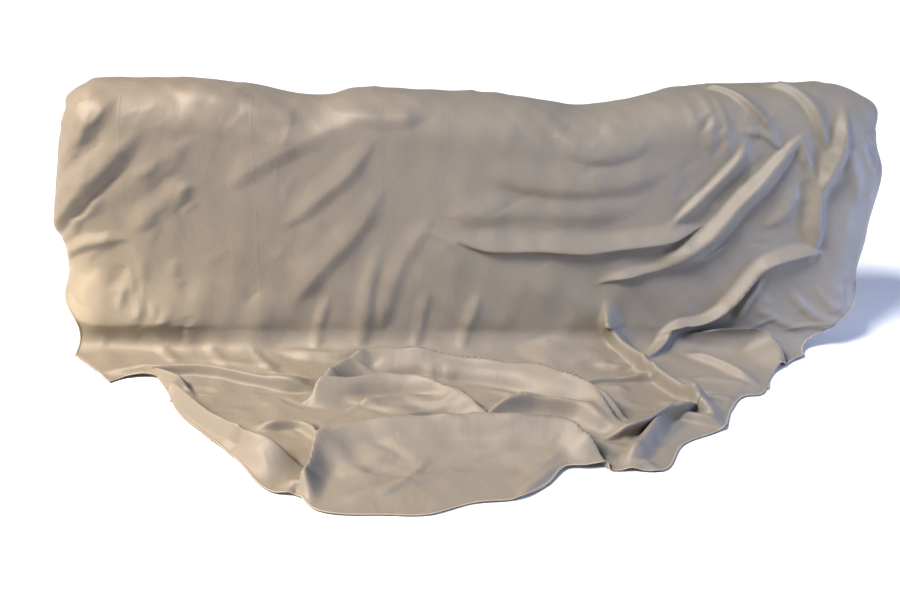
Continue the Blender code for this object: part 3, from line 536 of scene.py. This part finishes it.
def cloth_stretch(name, first, last, material):
    """A closed thin shell from one row of the cloth to another, with its own normals and places."""
    under, over, normal = inner[first : last + 1], outer[first : last + 1], cloth_normal[first : last + 1]
    rows, columns = under.shape[:2]
    other = rows * columns
    index = np.arange(other).reshape(rows, columns)
    a, b = index[:-1, :-1], index[:-1, 1:]
    c, d = index[1:, 1:], index[1:, :-1]
    below = np.stack([a, b, c, d], axis=-1).reshape(-1, 4)
    above = below[:, ::-1] + other
    rim = np.concatenate([index[0, :-1], index[:-1, -1], index[-1, :0:-1], index[:0:-1, 0]])
    ahead = np.roll(rim, -1)
    edge = np.stack([ahead, rim, rim + other, ahead + other], axis=-1)
    faces = np.concatenate([below, above, edge])
    mesh = bpy.data.meshes.new(name)
    points = np.concatenate([under.reshape(-1, 3), over.reshape(-1, 3)])
    mesh.from_pydata(points.tolist(), [], faces.tolist())
    corners = faces.reshape(-1)
    normals = np.concatenate([-normal.reshape(-1, 3), normal.reshape(-1, 3)])[corners]
    ahead_points = over.reshape(-1, 3)[edge[:, 0]] - over.reshape(-1, 3)[edge[:, 1]]
    outward = unit(np.cross(ahead_points, normal.reshape(-1, 3)[edge[:, 1]]))
    normals[-4 * len(edge):] = np.repeat(outward, 4, axis=0)
    mesh.normals_split_custom_set(normals.tolist())
    places = cloth_place[first : last + 1].reshape(-1, 2)
    layer = mesh.uv_layers.new(name="cloth")
    layer.data.foreach_set("uv", np.concatenate([places, places])[corners].ravel())
    mesh.materials.append(material)
    piece = new_object(name, mesh)
    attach(piece, "root")
    return piece


def colour(hex_code):
    """Linear colour from an sRGB hex value."""
    parts = [int(hex_code[place : place + 2], 16) / 255 for place in (1, 3, 5)]
    linear = [part / 12.92 if part <= 0.04045 else ((part + 0.055) / 1.055) ** 2.4 for part in parts]
    return (*linear, 1.0)


def add_node(tree, kind, links=None, **settings):
    """Adds a node, sets it up and joins its inputs. A node as a source stands for its first output."""
    node = tree.nodes.new(kind)
    for key, value in settings.items():
        if key in node.inputs:
            node.inputs[key].default_value = value
        else:
            setattr(node, key, value)
    for key, source in (links or {}).items():
        if isinstance(source, bpy.types.Node):
            source = source.outputs[0]
        tree.links.new(source, node.inputs[key])
    return node


def new_material(name, settings):
    """A material with some sockets set, its node tree and its main shader."""
    material = bpy.data.materials.new(name)
    material.use_nodes = True
    shader = material.node_tree.nodes["Principled BSDF"]
    for socket, value in settings.items():
        shader.inputs[socket].default_value = value
    return material, material.node_tree, shader


def two_tone(tree, pattern, dark, pale):
    """A mix of two colours by a pattern."""
    tone = add_node(tree, "ShaderNodeMix", {"Factor": pattern}, data_type="RGBA")
    tone.inputs["A"].default_value = colour(dark)
    tone.inputs["B"].default_value = colour(pale)
    return tone.outputs["Result"]


# The creases that folding left down the cloth: how far across, and how deep each shows.
PACKING_CREASES = ((-0.742, 0.07), (-0.463, 0.07), (-0.104, 0.05), (0.265, 0.04), (0.640, 0.04))
PACKING_CREASE_WIDTH = 0.003
# Marks a metre across and along a yarn. Real yarns lie closer, and are drawn coarser to be seen.
YARN_MARKS = 1500.0
SLUB_MARKS = 60.0


# Silky chiffon: a fine, slightly glossy weave of filament yarns, dyed a warm silver grey. It gives
# the eye a soft broad sheen, fine threads both ways, and faint packing creases down the cloth.
def silky_chiffon(name, dark, pale):
    finish = {"Roughness": 0.54, "Specular IOR Level": 0.42, "Sheen Weight": 0.10, "Sheen Roughness": 0.4}
    material, tree, shader = new_material(name, finish)
    places = add_node(tree, "ShaderNodeUVMap", uv_map="cloth").outputs["UV"]
    threads = []
    for scale in ((YARN_MARKS, SLUB_MARKS, 1.0), (SLUB_MARKS, YARN_MARKS, 1.0)):
        stretched = add_node(tree, "ShaderNodeMapping", {"Vector": places}, Scale=scale)
        threads.append(add_node(tree, "ShaderNodeTexNoise", {"Vector": stretched},
                                Scale=1.0, Detail=2.0, Roughness=0.5))
    weave = add_node(tree, "ShaderNodeMath", {0: threads[0], 1: threads[1]}, operation="ADD")
    cloudy = add_node(tree, "ShaderNodeTexNoise", {"Vector": places}, Scale=5.0, Detail=4.0, Roughness=0.55)
    tone = two_tone(tree, cloudy, dark, pale)
    level = add_node(tree, "ShaderNodeSeparateXYZ", {"Vector": places})
    weave_tone = add_node(tree, "ShaderNodeMapRange", {"Value": weave},
                          **{"From Min": 0.6, "From Max": 1.4, "To Min": 0.94, "To Max": 1.05})
    dyed = add_node(tree, "ShaderNodeVectorMath", {0: tone, "Scale": weave_tone}, operation="SCALE")
    slanted = add_node(tree, "ShaderNodeMapping", {"Vector": places},
                       Rotation=(0.0, 0.0, 0.6), Scale=(16.0, 9.0, 1.0))
    relief = add_node(tree, "ShaderNodeTexNoise", {"Vector": slanted},
                      Scale=1.0, Detail=5.0, Roughness=0.55, Distortion=0.6)
    for line_place, depth in PACKING_CREASES:
        away = add_node(tree, "ShaderNodeMath", {0: level.outputs["X"]}, operation="SUBTRACT")
        away.inputs[1].default_value = line_place
        size = add_node(tree, "ShaderNodeMath", {0: away}, operation="ABSOLUTE")
        limits = {"From Min": 0.0, "From Max": PACKING_CREASE_WIDTH, "To Min": depth, "To Max": 0.0}
        ridge = add_node(tree, "ShaderNodeMapRange", {"Value": size},
                         interpolation_type="SMOOTHSTEP", **limits)
        relief = add_node(tree, "ShaderNodeMath", {0: relief, 1: ridge}, operation="ADD")
    soft = add_node(tree, "ShaderNodeBump", {"Height": relief}, Strength=0.4, Distance=0.006)
    fine = add_node(tree, "ShaderNodeBump", {"Height": weave, "Normal": soft}, Strength=0.25, Distance=0.0003)
    tree.links.new(dyed.outputs["Vector"], shader.inputs["Base Color"])
    tree.links.new(fine.outputs["Normal"], shader.inputs["Normal"])
    return material


chiffon = silky_chiffon("silver_silky_chiffon", "#827D74", "#8E8980")

# The stretch that goes up the back, over the crest and onto the front: the same cloth, held by its
# own weight on both sides of the backrest. Its back hem hangs free behind.
arc_end = FLAP_ROWS + BACK_ARC_ROWS + FRONT_ARC_ROWS
over_crest = cloth_stretch("chiffon_over_crest", 0, arc_end, chiffon)
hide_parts("veil_back_flap", "veil_top_roll")

# The stretch that falls down the front, with the folds that pull from the upper right, and the two
# side hems that hang free of the backrest's ends.
face_end = arc_end + FACE_ROWS + FOOT_ROWS
front_fall = cloth_stretch("chiffon_front_fall", arc_end, face_end, chiffon)
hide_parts("veil_front_fall")

# The stretch that lies spread forward in soft ridges, out to the round front hem.
front_spread = cloth_stretch("chiffon_front_spread", face_end, face_end + FLOOR_ROWS, chiffon)
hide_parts("veil_spread")

# The rolled hem: the raw edge turned twice into a narrow roll, about 5 mm wide, that stiffens the
# whole rim of the veil and shows a little paler than the cloth.
HEM_HALF_WIDTH = 0.0026
HEM_HALF_DEPTH = 0.0018
HEM_SIDES = 8
HEM_LOWEST = 0.0003


def round_the_rim(rows):
    """Values down the left hem, along the front hem, up the right hem and along the back hem."""
    return np.concatenate([rows[:, 0], rows[-1, 1:], rows[-2::-1, -1], rows[0, -2:0:-1]])


def face_out(mesh):
    """Turns the mesh's faces outwards."""
    work = bmesh.new()
    work.from_mesh(mesh)
    bmesh.ops.recalc_face_normals(work, faces=work.faces)
    work.to_mesh(mesh)
    work.free()


def smoothed(values, passes):
    """Each value evened out with its neighbours round the rim."""
    for _pass in range(passes):
        values = (np.roll(values, 1, axis=0) + 2 * values + np.roll(values, -1, axis=0)) / 4
    return values


rim_points = round_the_rim((inner + outer) / 2)
inward = np.concatenate([way_right[:, 0], -way_down[-1, 1:], -way_right[-2::-1, -1], way_down[0, -2:0:-1]])
rim_way = unit(np.roll(rim_points, -1, axis=0) - np.roll(rim_points, 1, axis=0))
rim_up = unit(smoothed(round_the_rim(cloth_normal), passes=3))
rim_up = unit(rim_up - (rim_up * rim_way).sum(axis=-1, keepdims=True) * rim_way)
rim_side = np.cross(rim_way, rim_up)
rim_side *= np.sign((rim_side * inward).sum(axis=-1, keepdims=True))
rim_side = unit(rim_side)
turns = np.linspace(0, 2 * math.pi, HEM_SIDES, endpoint=False)
rings = (rim_points + HEM_HALF_WIDTH * rim_side)[:, None] + (
    HEM_HALF_WIDTH * np.cos(turns)[None, :, None] * rim_side[:, None]
    + HEM_HALF_DEPTH * np.sin(turns)[None, :, None] * rim_up[:, None]
)
rings[..., 2] = np.maximum(rings[..., 2], HEM_LOWEST)
index = np.arange(rings.shape[0] * HEM_SIDES).reshape(-1, HEM_SIDES)
onward = np.roll(index, -1, axis=0)
hem_faces = np.stack(
    [index, np.roll(index, -1, axis=1), np.roll(onward, -1, axis=1), onward], axis=-1
).reshape(-1, 4)
hem_mesh = bpy.data.meshes.new("rolled_hem")
hem_mesh.from_pydata(rings.reshape(-1, 3).tolist(), [], hem_faces.tolist())
hem_places = round_the_rim(cloth_place)
hem_layer = hem_mesh.uv_layers.new(name="cloth")
hem_layer.data.foreach_set("uv", np.repeat(hem_places, HEM_SIDES, axis=0)[hem_faces.reshape(-1)].ravel())
hem_mesh.materials.append(silky_chiffon("doubled_silky_chiffon", "#918B82", "#9D978D"))
hem_mesh.shade_smooth()
face_out(hem_mesh)
rolled_hem = new_object("rolled_hem", hem_mesh)
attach(rolled_hem, "root")

# The hem's stitches: a single line of fine pale thread, about eight stitches to 25 mm, sewn just
# inside the roll.
STITCH_LENGTH = 0.0019
STITCH_SPACING = 0.0031
THREAD_WIDTH = 0.0005
STITCH_INSET = 2.6 * HEM_HALF_WIDTH
STITCH_LIFT = 0.0006
STITCH_LOWEST = 0.0012

stitch_line = bpy.data.meshes.new("hem_stitches")
line_points = rim_points + STITCH_INSET * rim_side + (STITCH_LIFT + WALL / 2) * rim_up
line_points[:, 2] = np.maximum(line_points[:, 2], STITCH_LOWEST)
count = len(line_points)
stitch_line.from_pydata(line_points.tolist(), [(place, (place + 1) % count) for place in range(count)], [])
stitch_guide = new_object("hem_stitch_guide", stitch_line)

# Spun polyester thread: matte, a little paler than the cloth, so that each stitch shows as a dot.
thread, thread_tree, thread_shader = new_material("polyester_thread", {"Roughness": 0.6})
thread_place = add_node(thread_tree, "ShaderNodeTexCoord").outputs["Object"]
thread_noise = add_node(thread_tree, "ShaderNodeTexNoise", {"Vector": thread_place}, Scale=900.0, Detail=1.0)
thread_tone = two_tone(thread_tree, thread_noise, "#A79E90", "#C2B9AB")
thread_tree.links.new(thread_tone, thread_shader.inputs["Base Color"])

stitching = bpy.data.node_groups.new("stitches_along_hem", "GeometryNodeTree")
stitching.interface.new_socket("Geometry", in_out="INPUT", socket_type="NodeSocketGeometry")
sizes = {"Spacing": STITCH_SPACING, "Stitch length": STITCH_LENGTH, "Thread width": THREAD_WIDTH / 2}
for size_name in sizes:
    stitching.interface.new_socket(size_name, in_out="INPUT", socket_type="NodeSocketFloat")
stitching.interface.new_socket("Geometry", in_out="OUTPUT", socket_type="NodeSocketGeometry")
given = add_node(stitching, "NodeGroupInput")
result = add_node(stitching, "NodeGroupOutput")
line = add_node(stitching, "GeometryNodeMeshToCurve", {"Mesh": given.outputs["Geometry"]})
spaced = add_node(stitching, "GeometryNodeResampleCurve",
                  {"Curve": line, "Length": given.outputs["Spacing"]}, mode="LENGTH")
heading = add_node(stitching, "GeometryNodeInputTangent")
aim = add_node(stitching, "FunctionNodeAlignRotationToVector", {"Vector": heading}, axis="Z")
one_stitch = add_node(stitching, "GeometryNodeMeshCylinder",
                      {"Radius": given.outputs["Thread width"], "Depth": given.outputs["Stitch length"]},
                      Vertices=5)
placed = add_node(stitching, "GeometryNodeInstanceOnPoints",
                  {"Points": spaced, "Instance": one_stitch, "Rotation": aim})
real = add_node(stitching, "GeometryNodeRealizeInstances", {"Geometry": placed})
dressed = add_node(stitching, "GeometryNodeSetMaterial", {"Geometry": real}, Material=thread)
stitching.links.new(dressed.outputs["Geometry"], result.inputs["Geometry"])
sewing = stitch_guide.modifiers.new("stitches", "NODES")
sewing.node_group = stitching
for socket in stitching.interface.items_tree:
    if socket.name in sizes:
        sewing[socket.identifier] = sizes[socket.name]
sewn = stitch_guide.evaluated_get(bpy.context.evaluated_depsgraph_get())
hem_stitches = new_object("hem_stitches", bpy.data.meshes.new_from_object(sewn))
bpy.data.objects.remove(stitch_guide, do_unlink=True)
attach(hem_stitches, "root")

# The padded backrest: foam on a light frame under a plain woven cotton cover, with a corded seam
# round each end. The veil hides it from the front, so it is plain.
COVER_CLEARANCE = 0.0012
COVER_HALF_SPAN = 0.790
COVER_END_RADIUS = 0.060
COVER_FOOT_DRAW = 0.130
COVER_FOOT_HEIGHT = 0.160
COVER_COLUMNS = 170
COVER_END_COLUMNS = 12
COVER_BACK_ROWS = 18
COVER_SHARP_ANGLE = math.radians(50)

turn_length = COVER_END_RADIUS * math.pi / 2
end_steps = [
    COVER_HALF_SPAN + turn_length * step / COVER_END_COLUMNS for step in range(COVER_END_COLUMNS + 1)
]
cover_across = np.concatenate([
    [-step for step in reversed(end_steps)],
    np.linspace(-COVER_HALF_SPAN, COVER_HALF_SPAN, COVER_COLUMNS + 1)[1:-1],
    end_steps,
])
cover_crest = along_table(CREST, cover_across) - COVER_CLEARANCE
level = np.ones_like(cover_across)


def cover_row(y, z, draw_y, draw_z):
    """One row of the cover along the backrest, its ends turned and drawn in at the foot."""
    row = ends_turned(cover_across, y * level, z * level, draw_y * level, draw_z * level,
                      COVER_HALF_SPAN, COVER_END_RADIUS)
    ease = smooth_step(np.abs(cover_across) / COVER_HALF_SPAN)
    foot = 1 - smooth_step(row[:, 2] / COVER_FOOT_HEIGHT)
    row[:, 0] -= np.sign(cover_across) * COVER_FOOT_DRAW * ease * foot
    return row


cover_rows = []
back_face = BACK_Y - COVER_CLEARANCE
spring_back = cover_crest - (CREST_BACK_RADIUS - COVER_CLEARANCE)
for row in range(COVER_BACK_ROWS):
    cover_rows.append(cover_row(back_face, spring_back * row / COVER_BACK_ROWS, -1, 0))
back_radius = CREST_BACK_RADIUS - COVER_CLEARANCE
for row in range(BACK_ARC_ROWS // 2):
    turn = math.pi / 2 * row / (BACK_ARC_ROWS // 2)
    y = back_face - back_radius + back_radius * math.cos(turn)
    z = spring_back + back_radius * math.sin(turn)
    cover_rows.append(cover_row(y, z, -math.cos(turn), -math.sin(turn)))
front_radius = CREST_FRONT_RADIUS - COVER_CLEARANCE
front_face = FRONT_Y + COVER_CLEARANCE / math.cos(LEAN)
centre_z = cover_crest - front_radius
centre_y = front_face + (front_radius + centre_z * math.sin(LEAN)) / math.cos(LEAN)
for row in range(FRONT_ARC_ROWS // 2 + 1):
    amount = row / (FRONT_ARC_ROWS // 2)
    turn = math.pi / 2 + amount * (math.pi / 2 - LEAN)
    draw = math.pi / 2 * (1 + amount)
    y = centre_y + front_radius * math.cos(turn)
    z = centre_z + front_radius * math.sin(turn)
    cover_rows.append(cover_row(y, z, -math.cos(draw), -math.sin(draw)))
front_top = centre_z + front_radius * math.sin(LEAN)
for row in range(1, COVER_BACK_ROWS + 1):
    z = front_top * (1 - row / COVER_BACK_ROWS)
    cover_rows.append(cover_row(front_face + z * math.tan(LEAN), z, 1, 0))
cover = np.array(cover_rows)
rows, columns = cover.shape[:2]
index = np.arange(rows * columns).reshape(rows, columns)
cells = np.stack([index[:-1, 1:], index[:-1, :-1], index[1:, :-1], index[1:, 1:]], axis=-1)
cover_faces = [tuple(face) for face in cells.reshape(-1, 4).tolist()]
cover_faces.append(tuple(index[0].tolist()) + tuple(index[-1, ::-1].tolist()))
for step in range(rows // 2):
    far = rows - 1 - step
    for column, flip in ((0, True), (columns - 1, False)):
        rung = [int(index[row, column]) for row in (step, step + 1, far - 1, far)]
        rung = list(dict.fromkeys(reversed(rung) if flip else rung))
        if len(rung) > 2:
            cover_faces.append(tuple(rung))
cover_mesh = bpy.data.meshes.new("backrest_cover")
cover_mesh.from_pydata(cover.reshape(-1, 3).tolist(), [], cover_faces)
cover_mesh.shade_smooth()
cover_mesh.set_sharp_from_angle(angle=COVER_SHARP_ANGLE)

# Plain woven cotton: a matte, off-white, slightly slubbed cloth whose yarns show as a fine grid,
# drawn coarser than real. The marks are a metre, across and along a yarn.
COTTON_YARN_MARKS = 900.0
COTTON_SLUB_MARKS = 30.0
cotton, cotton_tree, cotton_shader = new_material("plain_woven_cotton",
                                                  {"Roughness": 0.9, "Sheen Weight": 0.15})
cotton_place = add_node(cotton_tree, "ShaderNodeTexCoord").outputs["Object"]
yarns = []
for stretch in ((COTTON_SLUB_MARKS, COTTON_SLUB_MARKS, COTTON_YARN_MARKS),
                (COTTON_YARN_MARKS, COTTON_YARN_MARKS, COTTON_SLUB_MARKS)):
    run = add_node(cotton_tree, "ShaderNodeMapping", {"Vector": cotton_place}, Scale=stretch)
    yarns.append(add_node(cotton_tree, "ShaderNodeTexNoise", {"Vector": run}, Scale=1.0, Detail=2.0))
cotton_weave = add_node(cotton_tree, "ShaderNodeMath", {0: yarns[0], 1: yarns[1]}, operation="ADD")
cotton_range = add_node(cotton_tree, "ShaderNodeMapRange", {"Value": cotton_weave},
                        **{"From Min": 0.7, "From Max": 1.3})
cotton_tone = two_tone(cotton_tree, cotton_range, "#CFC8BB", "#E4DED3")
cotton_bump = add_node(cotton_tree, "ShaderNodeBump", {"Height": cotton_weave},
                       Strength=0.4, Distance=0.0008)
cotton_tree.links.new(cotton_tone, cotton_shader.inputs["Base Color"])
cotton_tree.links.new(cotton_bump.outputs["Normal"], cotton_shader.inputs["Normal"])
cover_mesh.materials.append(cotton)
backrest_cover = new_object("backrest_cover", cover_mesh)
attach(backrest_cover, "root")
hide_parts("backrest")

# The corded seams: a thin cotton cord sewn into the seam round each end panel of the cover, and
# sunk a little into it.
PIPING_RADIUS = 0.0035
PIPING_SIDES = 8
PIPING_SPACING = 0.002
PIPING_SINK = 0.001
piping_points, piping_faces = [], []
for column, way in ((0, -1.0), (columns - 1, 1.0)):
    loop = cover[:, column]
    keep = np.concatenate([[True], np.linalg.norm(np.diff(loop, axis=0), axis=-1) > PIPING_SPACING])
    loop = loop[keep]
    heading = unit(np.gradient(loop, axis=0))
    sideways = np.array([1.0, 0.0, 0.0])
    upward = np.cross(heading, sideways)
    start = len(piping_points)
    for place, point in enumerate(loop):
        for side in range(PIPING_SIDES):
            turn = 2 * math.pi * side / PIPING_SIDES
            offset = math.cos(turn) * sideways + math.sin(turn) * upward[place]
            spot = point + PIPING_RADIUS * offset - way * PIPING_SINK * sideways
            piping_points.append((spot[0], spot[1], max(spot[2], 0.0)))
    for ring in range(len(loop) - 1):
        for side in range(PIPING_SIDES):
            a = start + ring * PIPING_SIDES + side
            b = start + ring * PIPING_SIDES + (side + 1) % PIPING_SIDES
            piping_faces.append((a, b, b + PIPING_SIDES, a + PIPING_SIDES))
    last_ring = start + (len(loop) - 1) * PIPING_SIDES
    piping_faces.append(tuple(start + side for side in reversed(range(PIPING_SIDES))))
    piping_faces.append(tuple(last_ring + side for side in range(PIPING_SIDES)))
piping_mesh = bpy.data.meshes.new("corded_seams")
piping_mesh.from_pydata(piping_points, [], piping_faces)
face_out(piping_mesh)
piping_mesh.shade_smooth()
piping_mesh.materials.append(cotton)
corded_seams = new_object("corded_seams", piping_mesh)
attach(corded_seams, "root")

# The floor: a plain, matte, near-white surface that the backrest and the veil's front end lie on.
FLOOR_HALF = 6.0
floor_mesh = bpy.data.meshes.new("floor")
floor_ways = ((-1, -1), (1, -1), (1, 1), (-1, 1))
floor_mesh.from_pydata([(x * FLOOR_HALF, y * FLOOR_HALF, 0) for x, y in floor_ways], [], [(0, 1, 2, 3)])
paint, _tree, _shader = new_material(
    "white_painted_floor", {"Base Color": colour("#F6F5F3"), "Roughness": 0.9, "Specular IOR Level": 0.1})
floor_mesh.materials.append(paint)
floor = new_object("floor", floor_mesh)

# The studio light: a warm lamp high on the left and a faint one low beside it, a cool window on the
# right, a faint reflector in front and a wide softbox overhead, in a bright white room.
SOFTBOX_WAY = (0.72, 0.32, -1.0)


def add_lamp(name, place, target, power, size, spread, hex_code):
    """A round lamp at a place, aimed at a target. The spread is in degrees."""
    lamp = bpy.data.lights.new(name, "AREA")
    lamp.shape = "DISK"
    lamp.size = size
    lamp.energy = power
    lamp.spread = math.radians(spread)
    lamp.color = colour(hex_code)[:3]
    lamp_object = new_object(name, lamp)
    lamp_object.location = place
    lamp_object.rotation_euler = (Vector(target) - Vector(place)).to_track_quat("-Z", "Y").to_euler()


add_lamp("warm_lamp", (-1.8, -0.42, 1.65), (-0.32, -0.52, 0.0), 5.0, 0.4, 80, "#FFD8A4")
add_lamp("cool_window", (2.3, -0.85, 0.55), (0.6, -0.2, 0.35), 17, 0.5, 180, "#B0C6FF")
add_lamp("low_warm_lamp", (-1.75, -0.80, 0.40), (-0.90, -0.20, 0.12), 0.15, 0.12, 26, "#FFE4B4")
add_lamp("front_reflector", (-0.15, -2.3, 0.45), (-0.12, -0.17, 0.08), 0.27, 0.6, 32, "#FFF8F0")
high_softbox = bpy.data.lights.new("high_softbox", "SUN")
high_softbox.energy = 2.55
high_softbox.angle = math.radians(20)
high_softbox.color = colour("#FAFAFF")[:3]
high_softbox_object = new_object("high_softbox", high_softbox)
high_softbox_object.rotation_euler = Vector(SOFTBOX_WAY).to_track_quat("-Z", "Y").to_euler()
room = bpy.data.worlds.new("white_room")
room.use_nodes = True
room_tree = room.node_tree
sky = room_tree.nodes["Background"]
sky.inputs["Color"].default_value = colour("#E9EEF8")
sky.inputs["Strength"].default_value = 0.21
backdrop = add_node(room_tree, "ShaderNodeBackground", Color=(1.0, 1.0, 1.0, 1.0), Strength=1.0)
seen = add_node(room_tree, "ShaderNodeLightPath")
both = add_node(room_tree, "ShaderNodeMixShader", {0: seen.outputs["Is Camera Ray"]})
room_tree.links.new(sky.outputs["Background"], both.inputs[1])
room_tree.links.new(backdrop.outputs["Background"], both.inputs[2])
room_tree.links.new(both.outputs["Shader"], room_tree.nodes["World Output"].inputs["Surface"])
bpy.context.scene.world = room
view = bpy.context.scene.view_settings
view.view_transform = "Standard"
view.look = "High Contrast"
view.exposure = 0.28

# The camera stands in front of the veil, higher than its crest, and looks down on it.
CAMERA_DOWN = 26.6
camera = new_object("camera", bpy.data.cameras.new("camera"))
camera.data.lens = 36.28
camera.data.sensor_width = 36.0
camera.location = (-0.042, -1.941, 1.015)
camera.rotation_euler = (math.radians(90 - CAMERA_DOWN), 0.0, 0.0)
bpy.context.scene.camera = camera
